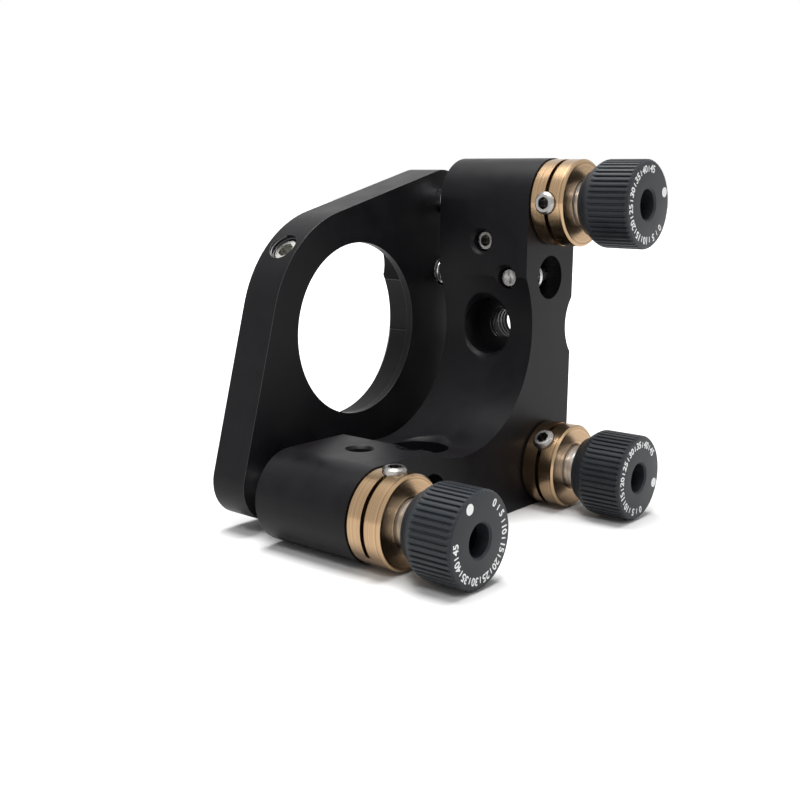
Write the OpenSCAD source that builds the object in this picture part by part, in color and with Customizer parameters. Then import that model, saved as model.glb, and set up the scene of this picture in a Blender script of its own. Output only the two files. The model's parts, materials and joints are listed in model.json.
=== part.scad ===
// Kinematic mirror mount: an L-shaped back plate carries three fine adjusters,
// and two extension springs pull the mirror plate onto their ball tips.
// Millimetres. X runs across, Y along the optical axis towards the knobs, Z up.
// The origin is on the optical axis, in the plane that the mirror seats on.

/* [Back plate] */
// Width and height of the square that the back plate fills
body_size = 49; // [47:0.5:56]
// Distance of the optical axis from the base, and from the outer side
axis_height = 25.4; // [25:0.1:26.4]
// Thickness of the back plate along the optical axis
back_t = 15; // [14:0.2:20]
// Width of the two arms, and diameter of their round ends
arm_w = 12.1; // [11.8:0.1:12.6]
// Diameter of the round clearance around the light path
clear_d = 30.4; // [29:0.2:31.4]
// Gap between the two plates
plate_gap = 3.85; // [3.5:0.05:6]
// Radius of the shallow locating groove in the outer faces
groove_r = 6; // [4:0.5:9]
// Depth of that groove
groove_depth = 1.5; // [0.5:0.1:1.8]

/* [Mirror plate] */
// Thickness of the mirror plate
front_t = 5.85; // [5.4:0.05:8]
// How far the mirror plate stays inside the back plate's outline
front_inset = 1.6; // [0.8:0.1:1.7]
// Radius of the three corners that sit on the adjusters
front_corner_r = 5; // [4:0.1:5.6]
// Radius of the free corner, measured from the optical axis
front_ring_r = 16.6; // [16.4:0.1:18]

/* [Mirror cell] */
// Diameter of the mirror
mirror_d = 25.4; // [24:0.1:26]
// Radial clearance around the mirror
mirror_clear = 0.05; // [0.03:0.01:0.2]
// Diameter of the clear aperture behind the mirror
aperture_d = 23.8; // [21:0.1:24.6]
// Thickness of the lip that the mirror seats on
seat_t = 1; // [0.8:0.1:1.4]
// Lead-in chamfer at the front of the mirror pocket
pocket_chamfer = 1; // [0.5:0.1:1.2]
// Depth of the shallow relief beside the two contact lines
contact_relief = 0.5; // [0.2:0.05:0.6]
// Radius of the two deep scallops in the pocket wall
scallop_r = 5; // [4.4:0.1:5.4]

/* [Adjusters] */
// Diameter of the adjuster screws
screw_d = 6; // [5.4:0.1:6.2]
// Diameter of the ball in each screw tip
ball_d = 4; // [3.6:0.1:4.2]
// Diameter of the sleeve of each threaded bush
bush_d = 9; // [8.6:0.1:9.2]
// Diameter of the clamping collar on each bush
collar_d = 11.8; // [11.4:0.1:12]
// Length of the clamping collar
collar_l = 5.1; // [4.8:0.1:6]
// Width of the saw slot in the collar
slot_w = 0.6; // [0.3:0.1:0.8]
// Depth of the saw slot, measured from the lock screw's side
slot_depth = 9.55; // [9.2:0.05:9.8]
// Diameter of the lock screws
lock_screw_d = 3; // [2.8:0.1:3.4]
// Gap left between collar and knob when the ball is in its deepest seat
neck_gap = 1.35; // [1.3:0.05:2.5]

/* [Knobs] */
// Diameter over the flutes
knob_d = 11.75; // [11:0.05:12]
// Length of the whole knob
knob_l = 8.2; // [7.8:0.1:10]
// Diameter of the neck where it faces the collar
neck_d = 8.8; // [8.2:0.1:9.6]
// Diameter of the shoulder where the neck meets the grip
shoulder_d = 11; // [10:0.1:11.1]
// Length of the fluted grip
grip_l = 5.95; // [5:0.05:6.4]
// Number of flutes
flutes = 48; // [36:1:56]
// Depth of the flutes
flute_depth = 0.24; // [0.1:0.02:0.3]
// Chamfer at the knob's face
knob_chamfer = 0.4; // [0.2:0.05:0.6]
// Diameter of the key hole in the knob's face
key_hole_d = 4; // [3.8:0.1:4.4]

/* [Seats] */
// Diameter of the hard seats pressed into the mirror plate
seat_d = 4; // [3.8:0.1:4.6]
// How far the cone and flat seats stand proud of the mirror plate
seat_proud = 0.6; // [0.4:0.1:0.8]
// Extra height of the grooved seat
vee_extra = 0.5; // [0.2:0.1:0.6]
// Half width of the cone and the groove at the seat's face
mouth_r = 1.55; // [1.45:0.05:1.6]
// Depth of the pockets that hold the seats
seat_pocket = 2.4; // [2.2:0.1:2.8]

/* [Springs] */
// Outside diameter of the extension springs
spring_d = 4; // [3.6:0.1:4.2]
// Wire diameter of the springs
wire_d = 0.7; // [0.6:0.05:0.8]
// Distance of each spring from the adjuster at the end of its arm
spring_from_adjuster = 10.4; // [9.8:0.1:10.8]
// Diameter of the wide rear end of the spring holes
spring_pocket_d = 6.1; // [5.8:0.1:6.4]
// Depth of that wide rear end
spring_pocket_depth = 6; // [5.8:0.1:6.4]
// Diameter of the pins that hold the springs in the mirror plate
spring_pin_d = 1.5; // [1.3:0.1:1.7]

/* [Post holes] */
// Diameter of the tapped holes for the post
post_hole_d = 4.3; // [4:0.1:5.2]
// Diameter of the counterbores on the inner side
counterbore_d = 8; // [7.8:0.1:8.6]
// Depth of the counterbores below the round clearance
counterbore_depth = 3.9; // [2.8:0.1:4.2]
// Chamfer around the counterbores
counterbore_chamfer = 1; // [0.6:0.1:1.2]
// Distance of the post holes from the rear face
post_hole_back = 7.75; // [7.4:0.05:8.2]

/* [Small screws] */
// Diameter of the set screws in the back plate
set_screw_d = 3; // [2.6:0.1:3.2]
// Diameter of the mirror's clamping screw
mirror_screw_d = 4; // [3.6:0.1:4.2]
// Distance of the spring anchors from the rear face
anchor_back = 3.55; // [3.4:0.05:4]

/* [Hidden] */
$fn = 96;

// Clearances
run_clear = 0.05;    // radial clearance of threads and pins that turn
glue_clear = 0.02;   // radial gap of pieces that are pressed or bonded
ball_clear = 0.1;    // gap between a ball and its seat
spring_clear = 0.3;  // gap around the spring and its pins
overcut = 1;         // how far cutting tools run past a face
edge = 0.25;         // small turned chamfer

// Planes along the optical axis
front_y = seat_t - front_t;
front_rear_y = seat_t;
back_y = front_rear_y + plate_gap;
rear_y = back_y + back_t;
collar_y = rear_y + collar_l;
slot_y = rear_y + collar_l / 2;
post_y = rear_y - post_hole_back;
anchor_y = rear_y - anchor_back;

// Places across the optical axis, as [x, z]
arm_r = arm_w / 2;
low = arm_r - axis_height;
high = body_size - axis_height - arm_r;
top_at = [low, high];
corner_at = [low, low];
side_at = [high, low];
spring_place = high - spring_from_adjuster;
left_spring_at = [low, spring_place];
bottom_spring_at = [spring_place, low];

// Directions in the X-Z plane, in degrees from +X towards +Z
lock_angle_top = 0;
lock_angle_corner = 45;
lock_angle_side = 90;
clamp_angle = 45;

// Headless screws: point, rim and socket as shares of their diameter
cup_share = 0.12;
rim_share = 0.1;
socket_share = 0.5;
anchor_l = 10;
lock_tip = screw_d / 2 + 0.35;
lock_screw_l = collar_d / 2 + 0.6 - lock_tip;

// Set screws that hold two bushes: each lies across its arm and presses on the bush's flank
bush_screw_l = 3;
bush_screw_bite = 0.6;
bush_screw_from_adjuster = (bush_d + set_screw_d) / 2 - bush_screw_bite;
bush_chord = sqrt(pow(bush_d / 2 + run_clear, 2) - pow(bush_d / 2 - bush_screw_bite, 2));
bush_screw_tip = bush_chord - cup_share * set_screw_d;
bush_screw_top_at = [low, high - bush_screw_from_adjuster];
bush_screw_side_at = [high - bush_screw_from_adjuster, low];
hole_chamfer = 0.4;

// Ball centres: each seat type lets its ball in by a different amount
ball_r = ball_d / 2;
cone_ball_y = front_rear_y + seat_proud - mouth_r + sqrt(2) * (ball_r + ball_clear);
vee_ball_y = cone_ball_y + vee_extra;
flat_ball_y = front_rear_y + seat_proud + ball_r + ball_clear;
knob_reach = collar_y + neck_gap + knob_l - cone_ball_y;

// Adjuster screw: how far the ball is set in its tip, the tip's nose and the key socket
ball_set = 0.3;
nose_r = ball_r + 0.2;
nose_l = 0.9;
knob_wall = 2;
key_size = 2.5;
key_depth = 3;

// One flute of the grip, as [share of the pitch, share of the depth]
flute_form = [[0, 0], [0.4, 0], [0.55, 1], [0.85, 1]];

// Mirror pocket, with angles measured to both sides of the clamping screw
pocket_r = mirror_d / 2 + mirror_clear;
contact_turn = 142.3;
scallop_turn = 87.5;
scallop_out = pocket_r + 3.1 - scallop_r;
mirror_screw_y = (front_y + front_rear_y) / 2;
mirror_screw_l = 2.6;
soft_tip_d = mirror_screw_d * 0.6;
soft_tip_in = pocket_r + 0.1;
soft_tip_out = 0.4;
soft_tip_hold = 0.4;

// Springs: end loops round their pins, and the coil between the loops
coil_pitch = 1.35;
loop_slack = 0.1;
front_loop_r = (spring_d - wire_d) / 2;
rear_loop_r = (set_screw_d + wire_d) / 2 + loop_slack;
front_loop_y = front_y + spring_d / 2 + 0.25;
rear_loop_y = anchor_y;
coil_start_y = front_loop_y + front_loop_r * cos(50);
coil_end_y = rear_loop_y - set_screw_d / 2 - loop_slack;
spring_pin_y = front_loop_y - front_loop_r + (wire_d + spring_pin_d) / 2 + loop_slack;
spring_pin_sink = spring_pin_y - front_y;
spring_pin_l = spring_d + 2 * spring_clear + 3.4;

// A child drawn in X and Z, made solid from y0 to y1
module along_y(y0, y1) {
    translate([0, y1, 0]) rotate([90, 0, 0]) linear_extrude(y1 - y0) children();
}

// A round rod along Y from y0 to y1, at a place across the axis
module rod_y(r, y0, y1, at = [0, 0]) {
    translate([at[0], y0, at[1]]) rotate([-90, 0, 0]) cylinder(r = r, h = y1 - y0);
}

// A cone along Y from radius r0 at y0 to radius r1 at y1
module cone_y(r0, r1, y0, y1, at = [0, 0]) {
    translate([at[0], y0, at[1]]) rotate([-90, 0, 0]) cylinder(r1 = r0, r2 = r1, h = y1 - y0);
}

// Turns a child drawn along +Z so that it points out from a place at an angle
module outward(at, y, angle, distance = 0) {
    translate([at[0], y, at[1]]) rotate([0, 90 - angle, 0]) translate([0, 0, distance]) children();
}

// A turned piece: profile points are [radius, distance along Y]
module turned_y(profile, at) {
    translate([at[0], 0, at[1]]) rotate([-90, 0, 0]) rotate_extrude() polygon(profile);
}

// A headless screw along +Z: cup point at its start, hexagon socket in its far end
module socket_screw(d, length) {
    point = d * cup_share;
    rim = d * rim_share;
    socket = d * socket_share;
    difference() {
        rotate_extrude() polygon([
            [0, point / 2], [d / 2 - 2 * point, 0], [d / 2 - point, 0], [d / 2, point],
            [d / 2, length - rim], [d / 2 - rim, length], [0, length]
        ]);
        translate([0, 0, length - socket]) hexagon_rod(socket, socket + overcut);
    }
}

// A hexagon rod along +Z, by its width across the flats
module hexagon_rod(flats, length) {
    cylinder(d = flats / cos(30), h = length, $fn = 6);
}

// ---- Back plate -----------------------------------------------------------

module back_outline() {
    difference() {
        union() {
            for (at = [top_at, corner_at, side_at]) translate(at) circle(r = arm_r);
            translate([-axis_height, low]) square([arm_w, high - low]);
            translate([low, -axis_height]) square([high - low, arm_w]);
            translate([low, low]) square([-low, -low]);
        }
        circle(d = clear_d);
        translate([groove_depth - groove_r - axis_height, 0]) circle(r = groove_r);
        translate([0, groove_depth - groove_r - axis_height]) circle(r = groove_r);
    }
}

// Tapped post hole with its counterbore, pointing out from the optical axis
module post_hole(angle) {
    floor_at = clear_d / 2 + counterbore_depth;
    chamfer_at = clear_d / 2 + 0.1;
    outward([0, 0], post_y, angle) {
        cylinder(d = post_hole_d, h = axis_height + overcut);
        cylinder(d = counterbore_d, h = floor_at);
        translate([0, 0, chamfer_at - counterbore_chamfer - overcut]) cylinder(
            r1 = counterbore_d / 2 + counterbore_chamfer + overcut,
            r2 = counterbore_d / 2,
            h = counterbore_chamfer + overcut
        );
    }
}

module spring_hole(at) {
    rod_y(spring_d / 2 + spring_clear, back_y - overcut, rear_y, at);
    rod_y(spring_pocket_d / 2, rear_y - spring_pocket_depth, rear_y + overcut, at);
}

// Hole for a set screw, along +Z from the given start to its chamfered mouth
module set_screw_hole(start) {
    r = set_screw_d / 2 + glue_clear;
    translate([0, 0, start]) cylinder(r = r, h = arm_r + overcut - start);
    translate([0, 0, arm_r - hole_chamfer])
        cylinder(r1 = r, r2 = r + hole_chamfer + overcut, h = hole_chamfer + overcut);
}

// Cross hole for a spring anchor, right through the arm and chamfered on its inner side
module anchor_hole(at, angle) {
    outward(at, anchor_y, angle + 180) set_screw_hole(-arm_r - overcut);
}

// Hole for the set screw that holds a bush, opening on the inner side of the arm
module bush_screw_hole(at, angle) {
    outward(at, post_y, angle) set_screw_hole(bush_screw_tip - glue_clear);
}

module back_plate() {
    color([0.12, 0.12, 0.135])
    difference() {
        along_y(back_y, rear_y) back_outline();
        for (at = [top_at, corner_at, side_at])
            rod_y(bush_d / 2 + glue_clear, back_y - overcut, rear_y + overcut, at);
        post_hole(180);
        post_hole(270);
        spring_hole(left_spring_at);
        spring_hole(bottom_spring_at);
        anchor_hole(left_spring_at, 180);
        anchor_hole(bottom_spring_at, 270);
        bush_screw_hole(bush_screw_top_at, 0);
        bush_screw_hole(bush_screw_side_at, 90);
    }
}

// Its socket is on the outer side, and its cup point shows on the inner side
module anchor_screw(at, angle) {
    color([0.72, 0.73, 0.75])
    outward(at, anchor_y, angle, -anchor_l / 2) socket_screw(set_screw_d, anchor_l);
}

module bush_screw(at, angle) {
    color([0.72, 0.73, 0.75])
    outward(at, post_y, angle, bush_screw_tip) socket_screw(set_screw_d, bush_screw_l);
}

// ---- Bushes and lock screws -----------------------------------------------

module bush(at, lock_angle) {
    bore_r = screw_d / 2 + run_clear;
    color([0.80, 0.60, 0.36])
    difference() {
        turned_y([
            [bore_r, back_y + edge], [bush_d / 2 - edge, back_y + edge],
            [bush_d / 2, back_y + 2 * edge], [bush_d / 2, rear_y],
            [collar_d / 2 - edge, rear_y], [collar_d / 2, rear_y + edge],
            [collar_d / 2, collar_y - edge], [collar_d / 2 - edge, collar_y],
            [bore_r + edge, collar_y], [bore_r, collar_y - edge]
        ], at);
        translate([at[0], slot_y, at[1]]) rotate([0, -lock_angle, 0])
            translate([collar_d / 2 - slot_depth, -slot_w / 2, -collar_d / 2 - overcut])
                cube([slot_depth + overcut, slot_w, collar_d + 2 * overcut]);
        outward(at, slot_y, lock_angle)
            cylinder(r = lock_screw_d / 2 + run_clear, h = collar_d);
    }
}

module lock_screw(at, angle) {
    color([0.80, 0.80, 0.82])
    outward(at, slot_y, angle, lock_tip) socket_screw(lock_screw_d, lock_screw_l);
}

// ---- Adjusters ------------------------------------------------------------

module adjuster_screw(at, ball_y) {
    tip_y = ball_y + ball_set;
    end_y = ball_y + knob_reach - knob_wall;
    color([0.74, 0.75, 0.77])
    difference() {
        turned_y([
            [0, tip_y], [nose_r, tip_y], [screw_d / 2, tip_y + nose_l],
            [screw_d / 2, end_y - edge], [screw_d / 2 - edge, end_y], [0, end_y]
        ], at);
        translate([at[0], ball_y, at[1]]) sphere(r = ball_r + run_clear);
        translate([at[0], end_y - key_depth, at[1]]) rotate([-90, 0, 0])
            hexagon_rod(key_size, key_depth + overcut);
    }
}

module ball(at, ball_y) {
    color([0.85, 0.86, 0.88])
    translate([at[0], ball_y, at[1]]) sphere(r = ball_r);
}

// Cross-section of the grip: straight-sided flutes around the circle
module fluted_section() {
    polygon([
        for (i = [0 : flutes - 1], corner = flute_form)
            let (a = 360 * (i + corner[0]) / flutes, r = knob_d / 2 - corner[1] * flute_depth)
                [r * cos(a), r * sin(a)]
    ]);
}

module knob(at, ball_y) {
    face_y = ball_y + knob_reach;
    grip_y = face_y - grip_l;
    start_y = face_y - knob_l;
    rim_y = face_y - knob_chamfer;
    core_r = knob_d / 2 - flute_depth - glue_clear;
    color([0.20, 0.21, 0.23])
    difference() {
        union() {
            turned_y([
                [0, start_y], [neck_d / 2, start_y], [shoulder_d / 2, grip_y], [core_r, grip_y],
                [core_r, rim_y], [core_r - knob_chamfer / 2, face_y], [0, face_y]
            ], at);
            translate([at[0], rim_y, at[1]]) rotate([90, 0, 0])
                linear_extrude(rim_y - grip_y) fluted_section();
        }
        rod_y(screw_d / 2 + glue_clear, start_y - overcut, face_y - knob_wall + glue_clear, at);
        rod_y(key_hole_d / 2, start_y, face_y + overcut, at);
        cone_y(key_hole_d / 2, key_hole_d / 2 + edge + overcut, face_y - edge, face_y + overcut, at);
    }
}

// ---- Mirror plate ---------------------------------------------------------

// Each corner of the mirror plate as [x, z, radius], anticlockwise
front_low = front_inset + front_corner_r - axis_height;
front_high = body_size - axis_height - front_inset - front_corner_r;
front_rounds = [
    [0, 0, front_ring_r],
    [front_low, front_high, front_corner_r],
    [front_low, front_low, front_corner_r],
    [front_high, front_low, front_corner_r]
];

// The direction in which the straight edge between two rounds faces
function edge_angle(a, b) =
    let (dx = b[0] - a[0], dz = b[1] - a[1])
        atan2(dz, dx) - acos((a[2] - b[2]) / norm([dx, dz]));

// The point of a round that faces that way
function round_point(a, angle) = [a[0] + a[2] * cos(angle), a[1] + a[2] * sin(angle)];

module front_outline() {
    count = len(front_rounds);
    for (a = front_rounds) translate([a[0], a[1]]) circle(r = a[2]);
    polygon([
        for (i = [0 : count - 1])
            let (
                a = front_rounds[i],
                b = front_rounds[(i + 1) % count],
                angle = edge_angle(a, b)
            )
                each [round_point(a, angle), round_point(b, angle)]
    ]);
}

// A wedge in X and Z between two angles, longer than the pocket is wide
module wedge(from, to) {
    reach = front_ring_r;
    polygon([[0, 0], reach * [cos(from), sin(from)], reach * [cos(to), sin(to)]]);
}

module mirror_pocket() {
    rod_y(pocket_r, front_y - overcut, 0);
    cone_y(pocket_r + pocket_chamfer + overcut, pocket_r, front_y - overcut, front_y + pocket_chamfer);
    rod_y(aperture_d / 2, -overcut, front_rear_y + overcut);
    for (side = [-1, 1]) {
        scallop_angle = clamp_angle + side * scallop_turn;
        contact_angle = clamp_angle + side * contact_turn;
        rod_y(scallop_r, front_y - overcut, 0, scallop_out * [cos(scallop_angle), sin(scallop_angle)]);
        along_y(front_y - overcut, 0) intersection() {
            circle(r = pocket_r + contact_relief);
            wedge(scallop_angle, contact_angle);
        }
    }
}

// The groove in the front face that a spring pin drops into, across a spring hole
module spring_pin_groove(at, turn) {
    r = spring_pin_d / 2 + glue_clear;
    translate([at[0], spring_pin_y, at[1]]) rotate([0, turn, 0]) {
        cylinder(r = r, h = spring_pin_l, center = true);
        translate([-r, -spring_pin_sink - overcut, -spring_pin_l / 2])
            cube([2 * r, spring_pin_sink + overcut, spring_pin_l]);
    }
}

module front_plate() {
    color([0.12, 0.12, 0.135])
    difference() {
        along_y(front_y, front_rear_y) front_outline();
        mirror_pocket();
        for (at = [top_at, corner_at, side_at])
            rod_y(seat_d / 2 + glue_clear, front_rear_y - seat_pocket, front_rear_y + overcut, at);
        for (at = [left_spring_at, bottom_spring_at])
            rod_y(spring_d / 2 + spring_clear, front_y - overcut, front_rear_y + overcut, at);
        spring_pin_groove(left_spring_at, 90);
        spring_pin_groove(bottom_spring_at, 0);
        outward([0, 0], mirror_screw_y, clamp_angle, pocket_r - overcut)
            cylinder(r = mirror_screw_d / 2 + run_clear, h = front_ring_r);
    }
}

module mirror_screw() {
    color([0.74, 0.75, 0.77])
    outward([0, 0], mirror_screw_y, clamp_angle, soft_tip_in + soft_tip_out)
        difference() {
            socket_screw(mirror_screw_d, mirror_screw_l);
            translate([0, 0, -overcut])
                cylinder(d = soft_tip_d + 2 * glue_clear, h = overcut + soft_tip_hold);
        }
}

// The soft tip that presses on the mirror, drawn back clear of the pocket
module mirror_screw_tip() {
    color([0.93, 0.92, 0.88])
    outward([0, 0], mirror_screw_y, clamp_angle, soft_tip_in)
        cylinder(d = soft_tip_d, h = soft_tip_out + soft_tip_hold - glue_clear);
}

// ---- Seats ----------------------------------------------------------------

// A hard pin pressed into the mirror plate, standing proud by the given height
module seat_blank(at, proud) {
    rod_y(seat_d / 2, front_rear_y - seat_pocket + glue_clear, front_rear_y + proud, at);
}

module cone_seat() {
    top = front_rear_y + seat_proud;
    color([0.70, 0.71, 0.74])
    difference() {
        seat_blank(top_at, seat_proud);
        cone_y(0, mouth_r + overcut, top - mouth_r, top + overcut, top_at);
    }
}

// The groove points along the line from this seat to the cone
module vee_seat() {
    top = front_rear_y + seat_proud + vee_extra;
    color([0.70, 0.71, 0.74])
    difference() {
        seat_blank(side_at, seat_proud + vee_extra);
        translate([side_at[0], top - mouth_r, side_at[1]]) rotate([0, -45, 0])
            rotate([0, 0, 45]) translate([0, 0, -seat_d])
                cube([2 * seat_d, 2 * seat_d, 2 * seat_d]);
    }
}

module flat_seat() {
    color([0.70, 0.71, 0.74]) seat_blank(corner_at, seat_proud);
}

// ---- Springs --------------------------------------------------------------

module spring_pin(at, turn) {
    color([0.72, 0.73, 0.75])
    translate([at[0], spring_pin_y, at[1]]) rotate([0, turn, 0])
        cylinder(d = spring_pin_d, h = spring_pin_l - 2 * glue_clear, center = true);
}

// An end loop of a spring, in the plane across its pin
module spring_loop(at, y, radius, turn) {
    translate([at[0], y, at[1]]) rotate([0, turn, 0])
        rotate_extrude() translate([radius, 0]) circle(d = wire_d, $fn = 24);
}

// Closed outer form of a spring: a ringed tube with a lip at both ends, between two loops
module spring(at, turn) {
    coils = floor((coil_end_y - coil_start_y) / (wire_d * coil_pitch));
    pitch = (coil_end_y - coil_start_y) / coils;
    valley_r = (spring_d - wire_d) / 2;
    bore_r = spring_d / 2 - wire_d;
    eye_r = bore_r / 2;
    color([0.78, 0.79, 0.81]) {
        turned_y([
            [eye_r, coil_start_y],
            for (i = [0 : coils - 1])
                each [
                    [valley_r, coil_start_y + i * pitch],
                    [spring_d / 2, coil_start_y + (i + 0.5) * pitch]
                ],
            [valley_r, coil_end_y],
            [eye_r, coil_end_y],
            [eye_r, coil_end_y - wire_d],
            [bore_r, coil_end_y - wire_d],
            [bore_r, coil_start_y + wire_d],
            [eye_r, coil_start_y + wire_d]
        ], at);
        spring_loop(at, front_loop_y, front_loop_r, turn);
        spring_loop(at, rear_loop_y, rear_loop_r, turn);
    }
}

// ---- Assembly -------------------------------------------------------------

back_plate();
bush(top_at, lock_angle_top);  // bush_top
bush(corner_at, lock_angle_corner);  // bush_corner
bush(side_at, lock_angle_side);  // bush_side
bush_screw(bush_screw_top_at, 0);  // bush_screw_top
bush_screw(bush_screw_side_at, 90);  // bush_screw_side
anchor_screw(left_spring_at, 180);  // anchor_screw_left
anchor_screw(bottom_spring_at, 270);  // anchor_screw_bottom
lock_screw(top_at, lock_angle_top);  // lock_screw_top
lock_screw(corner_at, lock_angle_corner);  // lock_screw_corner
lock_screw(side_at, lock_angle_side);  // lock_screw_side
adjuster_screw(top_at, cone_ball_y);  // adjuster_screw_top
adjuster_screw(corner_at, flat_ball_y);  // adjuster_screw_corner
adjuster_screw(side_at, vee_ball_y);  // adjuster_screw_side
ball(top_at, cone_ball_y);  // ball_top
ball(corner_at, flat_ball_y);  // ball_corner
ball(side_at, vee_ball_y);  // ball_side
knob(top_at, cone_ball_y);  // knob_top
knob(corner_at, flat_ball_y);  // knob_corner
knob(side_at, vee_ball_y);  // knob_side
front_plate();
cone_seat();
vee_seat();
flat_seat();
mirror_screw();
mirror_screw_tip();
spring_pin(left_spring_at, 90);  // spring_pin_left
spring_pin(bottom_spring_at, 0);  // spring_pin_bottom
spring(left_spring_at, 90);  // spring_left
spring(bottom_spring_at, 0);  // spring_bottom
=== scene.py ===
# %% [markdown]
# # Kinematic mirror mount
# A kinematic mount holds a small mirror at an exact angle. The L-shaped back plate carries three fine
# screws in bronze bushes, and springs pull the mirror plate on to the balls in their tips.
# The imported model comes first. It is the fixed frame that every piece below is placed in, in metres.

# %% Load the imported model
import json
import math

import bmesh
import bpy
from mathutils import Matrix, Vector


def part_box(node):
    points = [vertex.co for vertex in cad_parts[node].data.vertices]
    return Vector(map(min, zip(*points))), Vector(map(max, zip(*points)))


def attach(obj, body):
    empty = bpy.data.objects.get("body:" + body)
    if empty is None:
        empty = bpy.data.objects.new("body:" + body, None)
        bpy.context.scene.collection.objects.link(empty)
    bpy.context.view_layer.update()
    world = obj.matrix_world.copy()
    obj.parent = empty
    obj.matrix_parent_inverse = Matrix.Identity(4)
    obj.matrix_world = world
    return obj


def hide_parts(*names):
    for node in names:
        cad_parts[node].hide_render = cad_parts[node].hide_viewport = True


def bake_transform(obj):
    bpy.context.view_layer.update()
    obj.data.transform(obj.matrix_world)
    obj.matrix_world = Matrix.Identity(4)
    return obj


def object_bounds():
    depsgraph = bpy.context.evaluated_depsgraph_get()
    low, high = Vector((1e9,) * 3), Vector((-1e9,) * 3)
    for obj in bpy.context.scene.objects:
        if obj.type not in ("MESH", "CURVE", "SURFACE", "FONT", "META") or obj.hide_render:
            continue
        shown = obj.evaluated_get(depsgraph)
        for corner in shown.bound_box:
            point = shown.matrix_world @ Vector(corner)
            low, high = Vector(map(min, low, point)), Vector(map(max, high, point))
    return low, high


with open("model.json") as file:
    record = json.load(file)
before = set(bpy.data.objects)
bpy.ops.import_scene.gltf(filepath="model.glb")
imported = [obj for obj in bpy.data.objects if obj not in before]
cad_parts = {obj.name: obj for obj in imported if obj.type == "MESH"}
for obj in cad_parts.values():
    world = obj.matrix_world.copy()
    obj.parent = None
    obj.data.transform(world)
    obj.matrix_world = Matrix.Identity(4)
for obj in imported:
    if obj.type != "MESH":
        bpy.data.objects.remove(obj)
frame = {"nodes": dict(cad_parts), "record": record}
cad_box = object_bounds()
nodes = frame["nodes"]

MM = 0.001
CORNERS = ("top", "corner", "side")


def middle(node):
    low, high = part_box(node)
    return (low + high) / 2


adjuster_axis = {corner: middle(f"ball_{corner}") for corner in CORNERS}
for corner, place in adjuster_axis.items():
    print(f"adjuster {corner}: x {place.x / MM:.2f} mm, z {place.z / MM:.2f} mm")

# %% [markdown]
# ## Camera
# The view is from behind the knobs, a little above the optical axis. The camera is placed before anything
# is made, so that each piece can be judged through it. A lens of about 51 mm on a full-frame sensor gives
# the gentle perspective of a close product shot.

# %% Camera
CAMERA_PLACE = Vector((117.38, 105.16, 20.02)) * MM
AZIMUTH = math.radians(129.43)
ELEVATION = math.radians(10.87)
ROLL = math.radians(0.62)
LENS = 50.91


def make_camera():
    back = Vector((
        math.sin(AZIMUTH) * math.cos(ELEVATION),
        -math.cos(AZIMUTH) * math.cos(ELEVATION),
        math.sin(ELEVATION),
    ))
    level = (-back).cross(Vector((0, 0, 1))).normalized()
    upright = level.cross(-back)
    right = math.cos(ROLL) * level + math.sin(ROLL) * upright
    up = math.cos(ROLL) * upright - math.sin(ROLL) * level
    camera = bpy.data.objects.new("camera", bpy.data.cameras.new("camera"))
    camera.data.lens = LENS
    camera.data.sensor_width = 36
    camera.data.clip_start = 5 * MM
    camera.data.clip_end = 10
    turn = Matrix((right, up, back)).transposed()
    camera.matrix_world = Matrix.Translation(CAMERA_PLACE) @ turn.to_4x4()
    bpy.context.collection.objects.link(camera)
    bpy.context.scene.camera = camera
    return camera


camera = make_camera()
print("camera lens", camera.data.lens, "mm")

# %% [markdown]
# ## Shader groups shared by several finishes
# Anodised plates, turned bushes and ground steel all need a little unevenness at two scales: a slow drift
# in gloss and a fine grain that catches the light. Images could give it, but each would have to be laid out
# on its piece. Noise on Object coordinates needs no layout, so one group gives both scales, with its own
# values in each material. A second group draws the closely spaced rings that a lathe leaves around an axis,
# and a third is a mask for whatever lies close to an axis, such as the socket of a screw.

# %% Helpers for node trees
def add_node(tree, kind, values=None, **settings):
    node = tree.nodes.new(kind)
    for name, value in settings.items():
        setattr(node, name, value)
    for name, value in (values or {}).items():
        node.inputs[name].default_value = value
    return node


def add_math(tree, operation, first, second=None):
    node = add_node(tree, "ShaderNodeMath", operation=operation)
    for socket, value in zip(node.inputs, (first, second)):
        if value is None:
            continue
        if isinstance(value, (int, float)):
            socket.default_value = value
        else:
            tree.links.new(value, socket)
    return node.outputs["Value"]


def new_group(name, inputs, outputs):
    tree = bpy.data.node_groups.new(name, "ShaderNodeTree")
    for label, kind, value in inputs:
        socket = tree.interface.new_socket(label, in_out="INPUT", socket_type=kind)
        socket.default_value = value
    for label, kind in outputs:
        tree.interface.new_socket(label, in_out="OUTPUT", socket_type=kind)
    return tree, tree.nodes.new("NodeGroupInput"), tree.nodes.new("NodeGroupOutput")


# %% Group: surface grain
GRAIN_HEIGHT = 0.02 * MM
GRAIN_FINER = 30.0


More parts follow.
